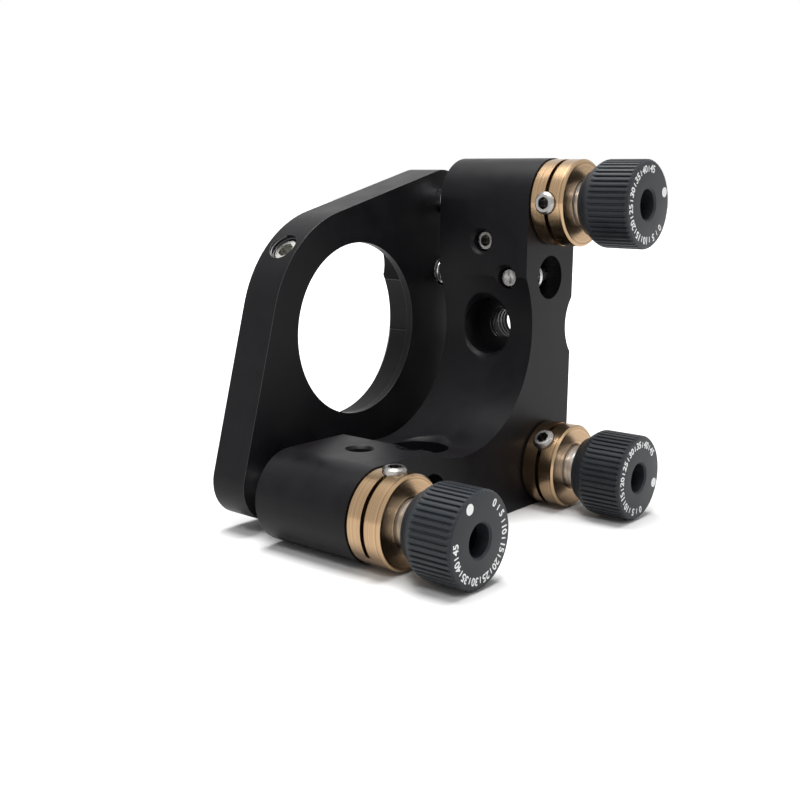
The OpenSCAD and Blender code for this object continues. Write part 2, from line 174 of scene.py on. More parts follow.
def make_grain_group():
    tree, given, result = new_group(
        "surface_grain",
        [
            ("Scale", "NodeSocketFloat", 300.0),
            ("Smoothest", "NodeSocketFloat", 0.3),
            ("Roughest", "NodeSocketFloat", 0.45),
            ("Grain", "NodeSocketFloat", 0.1),
        ],
        [("Roughness", "NodeSocketFloat"), ("Normal", "NodeSocketVector"), ("Drift", "NodeSocketFloat")],
    )
    place = add_node(tree, "ShaderNodeTexCoord")
    slow = add_node(tree, "ShaderNodeTexNoise", {"Detail": 4.0, "Roughness": 0.6})
    tree.links.new(place.outputs["Object"], slow.inputs["Vector"])
    tree.links.new(given.outputs["Scale"], slow.inputs["Scale"])
    spread = add_node(tree, "ShaderNodeMapRange", {"From Min": 0.3, "From Max": 0.7})
    tree.links.new(slow.outputs["Fac"], spread.inputs["Value"])
    tree.links.new(given.outputs["Smoothest"], spread.inputs["To Min"])
    tree.links.new(given.outputs["Roughest"], spread.inputs["To Max"])
    fine = add_node(tree, "ShaderNodeTexNoise", {"Detail": 2.0})
    tree.links.new(place.outputs["Object"], fine.inputs["Vector"])
    tree.links.new(add_math(tree, "MULTIPLY", given.outputs["Scale"], GRAIN_FINER), fine.inputs["Scale"])
    bump = add_node(tree, "ShaderNodeBump", {"Distance": GRAIN_HEIGHT})
    tree.links.new(fine.outputs["Fac"], bump.inputs["Height"])
    tree.links.new(given.outputs["Grain"], bump.inputs["Strength"])
    tree.links.new(spread.outputs["Result"], result.inputs["Roughness"])
    tree.links.new(bump.outputs["Normal"], result.inputs["Normal"])
    tree.links.new(slow.outputs["Fac"], result.inputs["Drift"])
    return tree


surface_grain = make_grain_group()
print("group", surface_grain.name)


# %% Group: lathe rings around an axis along Y
def make_ring_group():
    tree, given, result = new_group(
        "lathe_rings",
        [
            ("Vector", "NodeSocketVector", (0.0, 0.0, 0.0)),
            ("Pitch", "NodeSocketFloat", 0.2 * MM),
            ("Depth", "NodeSocketFloat", 0.5),
        ],
        [("Normal", "NodeSocketVector"), ("Shade", "NodeSocketFloat")],
    )
    parts = add_node(tree, "ShaderNodeSeparateXYZ")
    tree.links.new(given.outputs["Vector"], parts.inputs["Vector"])
    squares = add_math(
        tree, "ADD",
        add_math(tree, "MULTIPLY", parts.outputs["X"], parts.outputs["X"]),
        add_math(tree, "MULTIPLY", parts.outputs["Z"], parts.outputs["Z"]),
    )
    # radius plus length: rings run round the bore on an end face, and round the barrel on its side
    along = add_math(tree, "ADD", add_math(tree, "SQRT", squares), parts.outputs["Y"])
    line = add_math(tree, "DIVIDE", along, given.outputs["Pitch"])
    uneven = add_node(tree, "ShaderNodeTexNoise", {"Scale": 1.0, "Detail": 3.0}, noise_dimensions="1D")
    tree.links.new(line, uneven.inputs["W"])
    bump = add_node(tree, "ShaderNodeBump", {"Distance": GRAIN_HEIGHT})
    tree.links.new(uneven.outputs["Fac"], bump.inputs["Height"])
    tree.links.new(given.outputs["Depth"], bump.inputs["Strength"])
    tree.links.new(bump.outputs["Normal"], result.inputs["Normal"])
    tree.links.new(uneven.outputs["Fac"], result.inputs["Shade"])
    return tree


lathe_rings = make_ring_group()
print("group", lathe_rings.name)


# %% Group: mask that is 0 near an axis and 1 further out
def make_reach_group():
    tree, given, result = new_group(
        "reach_from_axis",
        [
            ("Centre", "NodeSocketVector", (0.0, 0.0, 0.0)),
            ("Axis", "NodeSocketVector", (0.0, 1.0, 0.0)),
            ("Inner", "NodeSocketFloat", 1.0 * MM),
            ("Outer", "NodeSocketFloat", 1.2 * MM),
        ],
        [("Mask", "NodeSocketFloat")],
    )
    place = add_node(tree, "ShaderNodeTexCoord")
    arm = add_node(tree, "ShaderNodeVectorMath", operation="SUBTRACT")
    across = add_node(tree, "ShaderNodeVectorMath", operation="CROSS_PRODUCT")
    size = add_node(tree, "ShaderNodeVectorMath", operation="LENGTH")
    spread = add_node(tree, "ShaderNodeMapRange")
    tree.links.new(place.outputs["Object"], arm.inputs[0])
    tree.links.new(given.outputs["Centre"], arm.inputs[1])
    tree.links.new(arm.outputs["Vector"], across.inputs[0])
    tree.links.new(given.outputs["Axis"], across.inputs[1])
    tree.links.new(across.outputs["Vector"], size.inputs[0])
    tree.links.new(size.outputs["Value"], spread.inputs["Value"])
    tree.links.new(given.outputs["Inner"], spread.inputs["From Min"])
    tree.links.new(given.outputs["Outer"], spread.inputs["From Max"])
    tree.links.new(spread.outputs["Result"], result.inputs["Mask"])
    return tree


reach_from_axis = make_reach_group()
print("group", reach_from_axis.name)

# %% [markdown]
# ## Finishes
# Each finish is one Principled shader. Black anodising is a dyed oxide on bead-blasted aluminium: almost
# no colour of its own, and a soft sheen. The milled chamfers are smoother, and their colour is painted
# lighter as a painted highlight, so they read as bright lines.
# The bushes and the fine screws are turned. A single material would centre the rings of all three on one
# axis, so each adjuster has its own.

# %% Helper that starts a finish
def new_finish(name, **constants):
    material = bpy.data.materials.new(name)
    material.use_nodes = True
    shader = material.node_tree.nodes["Principled BSDF"]
    for label, value in constants.items():
        shader.inputs[label.replace("_", " ")].default_value = value
    return material, material.node_tree, shader


def add_group(tree, group, **values):
    node = add_node(tree, "ShaderNodeGroup", node_tree=group)
    for label, value in values.items():
        node.inputs[label].default_value = value
    return node


def tint(tree, factor, dark, light):
    """Mixes two colours by a mask that changes over the surface."""
    ramp = add_node(tree, "ShaderNodeValToRGB")
    ramp.color_ramp.elements[0].position = 0.3
    ramp.color_ramp.elements[1].position = 0.7
    ramp.color_ramp.elements[0].color = (*dark, 1)
    ramp.color_ramp.elements[1].color = (*light, 1)
    tree.links.new(factor, ramp.inputs["Fac"])
    return ramp.outputs["Color"]


# %% Black anodised finishes
def anodised(name, dark, light, smoothest, roughest, specular, grain=0.12, scale=260.0):
    material, tree, shader = new_finish(name, Specular_IOR_Level=specular)
    texture = add_group(
        tree, surface_grain, Scale=scale, Smoothest=smoothest, Roughest=roughest, Grain=grain
    )
    tree.links.new(texture.outputs["Roughness"], shader.inputs["Roughness"])
    tree.links.new(texture.outputs["Normal"], shader.inputs["Normal"])
    tree.links.new(tint(tree, texture.outputs["Drift"], dark, light), shader.inputs["Base Color"])
    return material


plate_black = anodised(
    "plate_black", dark=(0.0045, 0.004, 0.005), light=(0.007, 0.0065, 0.0075),
    smoothest=0.32, roughest=0.42, specular=0.1,
)
# painted highlight: the edge finish is lighter than the plate so that chamfers and ridges read as bright
# lines; it is also smoother
highlight_black = anodised(
    "highlight_black", dark=(0.02, 0.02, 0.022), light=(0.035, 0.035, 0.037),
    smoothest=0.25, roughest=0.34, specular=0.6,
)
knob_black = anodised(
    "knob_black", dark=(0.010, 0.012, 0.015), light=(0.015, 0.018, 0.022),
    smoothest=0.42, roughest=0.52, specular=0.25, scale=400.0,
)
print("anodised finishes:", plate_black.name, highlight_black.name, knob_black.name)


# %% Turned metals, one for each adjuster's axis so that the rings run round it
LATHE_PITCH = 0.25 * MM
KNOB_BORE_SHADE = (0.01, 0.01, 0.011, 1)
KNOB_BORE_SHADE_FADE = 0.2 * MM
INSIDE_KNOB = 1 * MM


def turned_metal(name, centre, dark, light, roughness, pitch, depth, shade_from=None):
    """Rings round an axis along Y. Beyond a given length along Y, inside the knob, the metal gets painted
    shade.
    """
    material, tree, shader = new_finish(name, Metallic=1.0, Roughness=roughness)
    place = add_node(tree, "ShaderNodeTexCoord")
    shift = add_node(tree, "ShaderNodeMapping", {"Location": (-centre.x, 0.0, -centre.z)})
    tree.links.new(place.outputs["Object"], shift.inputs["Vector"])
    rings = add_group(tree, lathe_rings, Pitch=pitch, Depth=depth)
    tree.links.new(shift.outputs["Vector"], rings.inputs["Vector"])
    tree.links.new(rings.outputs["Normal"], shader.inputs["Normal"])
    colour = tint(tree, rings.outputs["Shade"], dark, light)
    # painted shade: past that length, inside the knob's bore, the colour fades to near black
    if shade_from is not None:
        parts = add_node(tree, "ShaderNodeSeparateXYZ")
        tree.links.new(place.outputs["Object"], parts.inputs["Vector"])
        fade = add_node(
            tree, "ShaderNodeMapRange", {"From Min": shade_from, "From Max": shade_from + KNOB_BORE_SHADE_FADE}
        )
        tree.links.new(parts.outputs["Y"], fade.inputs["Value"])
        # a Mix node has sockets called A, B and Result for each kind of data: these are the colours
        mix = add_node(tree, "ShaderNodeMix", data_type="RGBA")
        tree.links.new(fade.outputs["Result"], mix.inputs["Factor"])
        tree.links.new(colour, mix.inputs[6])
        mix.inputs[7].default_value = KNOB_BORE_SHADE
        colour = mix.outputs[2]
    tree.links.new(colour, shader.inputs["Base Color"])
    return material


bronze = {
    corner: turned_metal(
        f"bronze_{corner}", adjuster_axis[corner], dark=(0.29, 0.19, 0.105), light=(0.45, 0.31, 0.185),
        roughness=0.23, pitch=LATHE_PITCH, depth=0.35,
    )
    for corner in CORNERS
}
# painted shade: each adjusting screw is darkened where it runs inside its knob
thread_steel = {
    corner: turned_metal(
        f"thread_steel_{corner}", adjuster_axis[corner], dark=(0.5, 0.52, 0.55), light=(0.74, 0.76, 0.8),
        roughness=0.32, pitch=LATHE_PITCH, depth=1.0,
        shade_from=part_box(f"knob_{corner}")[0].y + INSIDE_KNOB,
    )
    for corner in CORNERS
}
print("turned finishes:", len(bronze) + len(thread_steel))


# %% Plain metals, the soft tip and the white marks
def plain_metal(name, dark, light, smoothest, roughest, grain=0.1, scale=900.0):
    material, tree, shader = new_finish(name, Metallic=1.0)
    texture = add_group(
        tree, surface_grain, Scale=scale, Smoothest=smoothest, Roughest=roughest, Grain=grain
    )
    tree.links.new(texture.outputs["Roughness"], shader.inputs["Roughness"])
    tree.links.new(texture.outputs["Normal"], shader.inputs["Normal"])
    tree.links.new(tint(tree, texture.outputs["Drift"], dark, light), shader.inputs["Base Color"])
    return material


screw_steel = plain_metal(
    "screw_steel", dark=(0.2, 0.195, 0.19), light=(0.34, 0.33, 0.325),
    smoothest=0.22, roughest=0.36, scale=2500.0,
)
hard_steel = plain_metal(
    "hard_steel", dark=(0.6, 0.6, 0.62), light=(0.7, 0.7, 0.72), smoothest=0.08, roughest=0.16, grain=0.02,
)
wire_steel = plain_metal(
    "wire_steel", dark=(0.42, 0.42, 0.43), light=(0.55, 0.55, 0.56), smoothest=0.22, roughest=0.34,
)
# the two pale finishes aren't metal, and the tree for anodising gives them their grain
soft_white = anodised(
    "soft_white", dark=(0.62, 0.61, 0.57), light=(0.7, 0.69, 0.66),
    smoothest=0.5, roughest=0.6, specular=0.5, grain=0.05,
)
print_white = anodised(
    "print_white", dark=(0.66, 0.66, 0.66), light=(0.78, 0.78, 0.78),
    smoothest=0.5, roughest=0.6, specular=0.3, grain=0.05,
)
for finish in (screw_steel, hard_steel, wire_steel, soft_white, print_white):
    print("finish", finish.name)

# %% [markdown]
# ## The two plates
# Both plates are milled from aluminium bar, and every milled edge is broken with a small chamfer that
# catches the light. The plates could be built again from blocks and rods, but the imported solids already
# have the right shape. So a merged copy of each gets its edges from a Bevel modifier, which also puts the
# smoother edge finish, whose lighter colour is a painted highlight, on the new faces.

# %% Helpers that finish a mesh
def new_piece(name, mesh, *materials):
    piece = bpy.data.objects.new(name, mesh)
    bpy.context.collection.objects.link(piece)
    for material in materials:
        mesh.materials.append(material)
    return piece


def settle(piece):
    """Turns what the modifiers show into the piece's own plain mesh."""
    graph = bpy.context.evaluated_depsgraph_get()
    mesh = bpy.data.meshes.new_from_object(piece.evaluated_get(graph))
    mesh.name = piece.name
    piece.modifiers.clear()
    piece.data = mesh
    return piece


def soften(piece, angle=30):
    """Smooth shading, with a crease wherever two faces meet at more than the angle."""
    for face in piece.data.polygons:
        face.use_smooth = True
    piece.data.set_sharp_from_angle(angle=math.radians(angle))


SAME_PLACE = 0.0005 * MM
SAME_PLANE = math.radians(0.2)


def merged_copy(node, name, *materials):
    """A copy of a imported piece's mesh, with its loose triangles merged into whole faces."""
    mesh = nodes[node].data.copy()
    mesh.materials.clear()
    work = bmesh.new()
    work.from_mesh(mesh)
    bmesh.ops.remove_doubles(work, verts=work.verts, dist=SAME_PLACE)
    bmesh.ops.dissolve_limit(work, angle_limit=SAME_PLANE, verts=work.verts, edges=work.edges)
    for face in work.faces:
        face.smooth = True
        face.material_index = 0
    work.to_mesh(mesh)
    work.free()
    return new_piece(name, mesh, *materials)


def break_edges(piece, width, segments=2, angle=35):
    bevel = piece.modifiers.new("broken edges", "BEVEL")
    bevel.limit_method = "ANGLE"
    bevel.angle_limit = math.radians(angle)
    bevel.width = width
    bevel.segments = segments
    # the new faces take the edge finish, lighter as a painted highlight
    bevel.material = 1
    settle(piece)
    soften(piece)
    # the large faces keep their own direction, so the flats stay flat up to the broken edge
    weighted = piece.modifiers.new("flat faces", "WEIGHTED_NORMAL")
    weighted.mode = "FACE_AREA"
    weighted.weight = 100
    weighted.keep_sharp = True
    settle(piece)
    print(piece.name, len(piece.data.polygons), "faces with broken edges")


# %% Helper that gives round walls their true direction
WALL_SLACK = 0.03 * MM
WALL_LEAN = 0.01
WIDEST_FACET = math.radians(12)


def shade_round_walls(piece, axes):
    """Long thin faces beside a hole shade unevenly, so the corners of faces that lie on a round wall about
    one of the axes, all along Y, get the direction of the true round."""
    mesh = piece.data
    directions = [corner.vector.copy() for corner in mesh.corner_normals]
    count = 0
    for face in mesh.polygons:
        if face.material_index or abs(face.normal.y) > WALL_LEAN:
            continue
        for axis in axes:
            arms = [mesh.vertices[v].co - axis for v in face.vertices]
            arms = [Vector((arm.x, 0, arm.z)) for arm in arms]
            lengths = [arm.length for arm in arms]
            if max(lengths) - min(lengths) > WALL_SLACK:
                continue
            turns = [arm.normalized().dot(face.normal) for arm in arms]
            if min(abs(turn) for turn in turns) < math.cos(WIDEST_FACET):
                continue
            for corner, arm, turn in zip(face.loop_indices, arms, turns):
                directions[corner] = arm.normalized() * math.copysign(1, turn)
            count += 1
            break
    mesh.normals_split_custom_set(directions)
    print(piece.name, count, "faces on round walls")


# %% Rods, for cutting round holes and for round marks
def rod(name, radius, start, end, sides=64):
    start, end = Vector(start), Vector(end)
    work = bmesh.new()
    bmesh.ops.create_cone(
        work, cap_ends=True, segments=sides, radius1=radius, radius2=radius, depth=(end - start).length
    )
    turn = (end - start).to_track_quat("Z", "Y").to_matrix().to_4x4()
    bmesh.ops.transform(work, matrix=Matrix.Translation((start + end) / 2) @ turn, verts=work.verts)
    mesh = bpy.data.meshes.new(name)
    work.to_mesh(mesh)
    work.free()
    return new_piece(name, mesh)


def cut_out(piece, cutter):
    cut = piece.modifiers.new("cut", "BOOLEAN")
    cut.operation = "DIFFERENCE"
    cut.solver = "EXACT"
    cut.object = cutter
    settle(piece)
    bpy.data.objects.remove(cutter)


# %% Places of the two tapped post holes, which the record gives with their middle, direction and length
mounts = {mount["name"]: mount for mount in frame["record"]["mounts"]}
post_holes = {}
for label in ("post_hole_left", "post_hole_bottom"):
    place, axis = Vector(mounts[label]["pos_m"]), Vector(mounts[label]["axis"])
    half = mounts[label]["dims"]["length_mm"] / 2 * MM
    post_holes[label] = (place - axis * half, place + axis * half)
    print(label, "from", [round(v / MM, 2) for v in post_holes[label][0]], "mm")

# %% Back plate, with each post hole opened to the full width of its thread
THREAD_RADIUS = 2.5 * MM
START_GAP = 0.02 * MM
CUT_PAST = 2 * MM
BACK_EDGE = 0.15 * MM
back_plate = merged_copy("back_plate", "back_plate_milled", plate_black, highlight_black)
for label, (start, end) in post_holes.items():
    out = (end - start).normalized()
    cut_out(back_plate, rod("cutter", THREAD_RADIUS, start + out * START_GAP, end + out * CUT_PAST))
break_edges(back_plate, BACK_EDGE)
GROOVE_RISE = 4.5 * MM
light_axis = Vector((0, 0, 0))
groove_axes = [Vector((cad_box[0].x - GROOVE_RISE, 0, 0)), Vector((0, 0, cad_box[0].z - GROOVE_RISE))]
shade_round_walls(back_plate, [light_axis, *adjuster_axis.values(), *groove_axes])
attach(back_plate, "back_plate")
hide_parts("back_plate")

# %% Mirror plate
mirror_plate = merged_copy("front_plate", "mirror_plate_milled", plate_black, highlight_black)
MIRROR_EDGE = 0.2 * MM
break_edges(mirror_plate, MIRROR_EDGE)
CORNER_RADIUS = 5 * MM
plate_low, plate_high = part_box("front_plate")
near, far_x, far_z = plate_low.x + CORNER_RADIUS, plate_high.x - CORNER_RADIUS, plate_high.z - CORNER_RADIUS
corner_axes = [Vector((near, 0, near)), Vector((near, 0, far_z)), Vector((far_x, 0, near))]
shade_round_walls(mirror_plate, [light_axis, *corner_axes])
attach(mirror_plate, "front_plate")
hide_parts("front_plate")

# %% [markdown]
# ## Thread in the post holes
# The posts of an optical table screw in with an M5 thread of 0.8 mm pitch. Bump in a material would look
# flat in the mouth of the hole, so the thread is a shape. It follows a spiral, so Geometry Nodes sweep a
# four-sided profile along a Spiral curve: its inner corner is the crest of the thread, and its outer corner
# is buried in the wall of the widened bore. The same tree makes the fine thread that shows above the
# mirror's clamping screw.

# %% Helpers for Geometry Nodes trees
def new_node_tree(name, inputs):
    tree = bpy.data.node_groups.new(name, "GeometryNodeTree")
    tree.interface.new_socket("Geometry", in_out="INPUT", socket_type="NodeSocketGeometry")
    for label, kind in inputs:
        tree.interface.new_socket(label, in_out="INPUT", socket_type=kind)
    tree.interface.new_socket("Geometry", in_out="OUTPUT", socket_type="NodeSocketGeometry")
    return tree, tree.nodes.new("NodeGroupInput"), tree.nodes.new("NodeGroupOutput")


def wire_up(tree, *pairs):
    for source, target in pairs:
        tree.links.new(source, target)


def end_tree(tree, given, result, geometry):
    """Every tree ends in Realize Instances and Set Material."""
    real = tree.nodes.new("GeometryNodeRealizeInstances")
    paint = tree.nodes.new("GeometryNodeSetMaterial")
    wire_up(
        tree,
        (geometry, real.inputs["Geometry"]),
        (real.outputs["Geometry"], paint.inputs["Geometry"]),
        (given.outputs["Material"], paint.inputs["Material"]),
        (paint.outputs["Geometry"], result.inputs["Geometry"]),
    )


def grow(name, tree, values, mesh=None):
    """Runs a tree with its named inputs set, and keeps the result as a plain mesh."""
    piece = new_piece(name, mesh or bpy.data.meshes.new(name))
    modifier = piece.modifiers.new("grow", "NODES")
    modifier.node_group = tree
    for item in tree.interface.items_tree:
        if item.item_type == "SOCKET" and item.in_out == "INPUT" and item.name in values:
            modifier[item.identifier] = values[item.name]
    settle(piece)
    print(name, len(piece.data.polygons), "faces grown")
    return piece


# %% Tree: a wire or a ridge wound along a spiral
def make_winding_tree():
    tree, given, result = new_node_tree(
        "winding",
        [
            ("Radius", "NodeSocketFloat"), ("Length", "NodeSocketFloat"), ("Turns", "NodeSocketFloat"),
            ("Wire", "NodeSocketFloat"), ("Sides", "NodeSocketInt"), ("Steps", "NodeSocketInt"),
            ("Place", "NodeSocketVector"), ("Rotation", "NodeSocketVector"),
            ("Material", "NodeSocketMaterial"),
        ],
    )
    spiral = tree.nodes.new("GeometryNodeCurveSpiral")
    ring = tree.nodes.new("GeometryNodeCurvePrimitiveCircle")
    sweep = tree.nodes.new("GeometryNodeCurveToMesh")
    sweep.inputs["Fill Caps"].default_value = True
    shift = tree.nodes.new("GeometryNodeTransform")
    wire_up(
        tree,
        (given.outputs["Radius"], spiral.inputs["Start Radius"]),
        (given.outputs["Radius"], spiral.inputs["End Radius"]),
        (given.outputs["Length"], spiral.inputs["Height"]),
        (given.outputs["Turns"], spiral.inputs["Rotations"]),
        (given.outputs["Steps"], spiral.inputs["Resolution"]),
        (given.outputs["Wire"], ring.inputs["Radius"]),
        (given.outputs["Sides"], ring.inputs["Resolution"]),
        (spiral.outputs["Curve"], sweep.inputs["Curve"]),
        (ring.outputs["Curve"], sweep.inputs["Profile Curve"]),
        (sweep.outputs["Mesh"], shift.inputs["Geometry"]),
        (given.outputs["Place"], shift.inputs["Translation"]),
        (given.outputs["Rotation"], shift.inputs["Rotation"]),
    )
    end_tree(tree, given, result, shift.outputs["Geometry"])
    return tree


winding = make_winding_tree()
print("tree", winding.name, len(winding.nodes), "nodes")

# %% Threads of the post holes
# the thread ridges take the edge finish, lighter as a painted highlight
THREAD_PITCH = 0.8 * MM
THREAD_INSET = 0.3 * MM
THREAD_TRIM = 0.5 * MM
THREAD_RIDGE = 0.37 * MM
RIDGE_SIDES = 4
RIDGE_STEPS = 48
ALONG_LEFT = (0.0, math.radians(-90), 0.0)
ALONG_DOWN = (math.radians(180), 0.0, 0.0)
for label, rotation in (("post_hole_left", ALONG_LEFT), ("post_hole_bottom", ALONG_DOWN)):
    start, end = post_holes[label]
    depth = (end - start).length - THREAD_TRIM
    thread = grow(f"thread_{label}", winding, {
        "Radius": THREAD_RADIUS, "Length": depth, "Turns": depth / THREAD_PITCH,
        "Wire": THREAD_RIDGE, "Sides": RIDGE_SIDES, "Steps": RIDGE_STEPS,
        "Place": start + (end - start).normalized() * THREAD_INSET, "Rotation": rotation,
        "Material": highlight_black,
    })
    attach(thread, "back_plate")

# %% Thread left open above the screw that clamps the mirror
# the thread ridge takes the edge finish, lighter as a painted highlight
RIM_RADIUS = 16.6 * MM
CLAMP_HOLE_RADIUS = 2.05 * MM
CLAMP_PITCH = 0.5 * MM
CLAMP_RIDGE = 0.18 * MM
CLAMP_DEPTH = 0.72 * MM
UNDER_RIM = 0.28 * MM
clamp_centre = middle("mirror_screw")
clamp_out = Vector((clamp_centre.x, 0, clamp_centre.z)).normalized()
clamp_thread = grow("thread_mirror_screw", winding, {
    "Radius": CLAMP_HOLE_RADIUS, "Length": CLAMP_DEPTH, "Turns": CLAMP_DEPTH / CLAMP_PITCH,
    "Wire": CLAMP_RIDGE, "Sides": RIDGE_SIDES, "Steps": RIDGE_STEPS,
    "Place": clamp_out * (RIM_RADIUS - UNDER_RIM - CLAMP_DEPTH) + Vector((0, clamp_centre.y, 0)),
    "Rotation": (0.0, math.atan2(clamp_out.x, clamp_out.z), 0.0), "Material": highlight_black,
})
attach(clamp_thread, "front_plate")

# %% [markdown]
# ## Springs
# Each extension spring is a coil between two loops: one hooks over a pin in the mirror plate, the other
# round a screw in the back plate. The coil comes from the same winding tree as the threads, with a round
# wire, and a ring of wire is added for each loop. A rigid spring would slide off its pin when the plate
# tips, and here each spring is one rigid piece.

# %% Rings of wire, and joining pieces
WIRE = 0.35 * MM
WIRE_SIDES = 12
RING_STEPS = 40


def wire_ring(name, centre, radius, axis):
    mesh = bpy.data.meshes.new(name)
    work = bmesh.new()
    turn = Vector((0, 0, 1)).rotation_difference(Vector(axis)).to_matrix()
    rings = []
    for i in range(RING_STEPS):
        a = 2 * math.pi * i / RING_STEPS
        out = Vector((math.cos(a), math.sin(a), 0))
        rings.append([
            work.verts.new(Vector(centre) + turn @ (
                out * (radius + WIRE * math.cos(b)) + Vector((0, 0, WIRE * math.sin(b)))
            ))
            for b in (2 * math.pi * j / WIRE_SIDES for j in range(WIRE_SIDES))
        ])
    for ring, following in zip(rings, rings[1:] + rings[:1]):
        for j in range(WIRE_SIDES):
            k = (j + 1) % WIRE_SIDES
            work.faces.new((ring[j], following[j], following[k], ring[k]))
    bmesh.ops.recalc_face_normals(work, faces=work.faces)
    work.to_mesh(mesh)
    work.free()
    return new_piece(name, mesh, wire_steel)


def join(pieces):
    """Joins pieces into the first one."""
    with bpy.context.temp_override(active_object=pieces[0], selected_editable_objects=pieces):
        bpy.ops.object.join()
    return pieces[0]


# %% Springs, each from its screw in the back plate to its pin in the mirror plate
COIL = 1.65 * MM
COIL_PITCH = 0.95 * MM
COIL_STEPS = 32
HOOK_TO_COIL = 0.9 * MM
COIL_TO_SCREW = 1.6 * MM
for side, pin_axis, below in (("left", (1, 0, 0), "spring_bottom"), ("bottom", (0, 0, 1), "back_plate")):
    low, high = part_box(f"spring_{side}")
    anchor = middle(f"anchor_screw_{side}")
    hook = Vector((anchor.x, low.y + COIL + WIRE, anchor.z))
    if side == "left":
        hook.x = anchor.x = middle("spring_pin_left").x
    else:
        hook.z = anchor.z = middle("spring_pin_bottom").z
    start = hook.y + HOOK_TO_COIL
    length = anchor.y - COIL_TO_SCREW - WIRE - start
    coil = grow(f"coil_{side}", winding, {
        "Radius": COIL, "Length": length, "Turns": float(round(length / COIL_PITCH)), "Wire": WIRE,
        "Sides": WIRE_SIDES, "Steps": COIL_STEPS, "Place": (hook.x, start, hook.z),
        "Rotation": (math.radians(-90), 0.0, 0.0), "Material": wire_steel,
    })
    loops = [
        wire_ring("front_loop", hook, COIL, pin_axis),
        wire_ring("rear_loop", anchor, high.y - anchor.y - WIRE, pin_axis),
    ]
    spring = join([coil] + loops)
    soften(spring, 60)
    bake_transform(spring)
    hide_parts(f"spring_{side}")
    print(spring.name, "has", len(spring.data.polygons), "faces with its loops")

# %% [markdown]
# ## Knobs
# Each knob is turned from aluminium bar: a narrow neck swells into a rounded shoulder, and 48 fine flutes
# run along the grip. The turned body is spun from a half section. Booleans could cut the flutes one by
# one, slowly and with ragged faces. But the flutes follow a rule, a wave round the axis that fades out at
# both ends, so Geometry Nodes press them in with Set Position.

# %% Half section of a knob, as distance from the axis and length from the neck's end, in mm
KNOB_SECTION = [
    (3.02, 0.0), (4.25, 0.0), (4.40, 0.10), (4.47, 0.40), (4.70, 0.68), (5.02, 1.05), (5.32, 1.42),
    (5.56, 1.78), (5.74, 2.10), (5.84, 2.35), (5.875, 2.60), (5.875, 2.9), (5.875, 3.2), (5.875, 7.3),
    (5.875, 7.6), (5.875, 7.84), (5.80, 7.98), (5.58, 8.18), (5.50, 8.20), (2.25, 8.20), (2.00, 7.95),
    (2.00, 6.20), (3.02, 6.20),
]
SECTIONS_ROUND = 384


def spin_section(name, section, centre, start_y, count):
    work = bmesh.new()
    rings = [
        [
            work.verts.new((
                centre.x + r * MM * math.cos(2 * math.pi * i / count),
                start_y + along * MM,
                centre.z + r * MM * math.sin(2 * math.pi * i / count),
            ))
            for i in range(count)
        ]
        for r, along in section
    ]
    for ring, following in zip(rings, rings[1:] + rings[:1]):
        for i in range(count):
            j = (i + 1) % count
            work.faces.new((ring[i], ring[j], following[j], following[i]))
    bmesh.ops.recalc_face_normals(work, faces=work.faces)
    mesh = bpy.data.meshes.new(name)
    work.to_mesh(mesh)
    work.free()
    return mesh


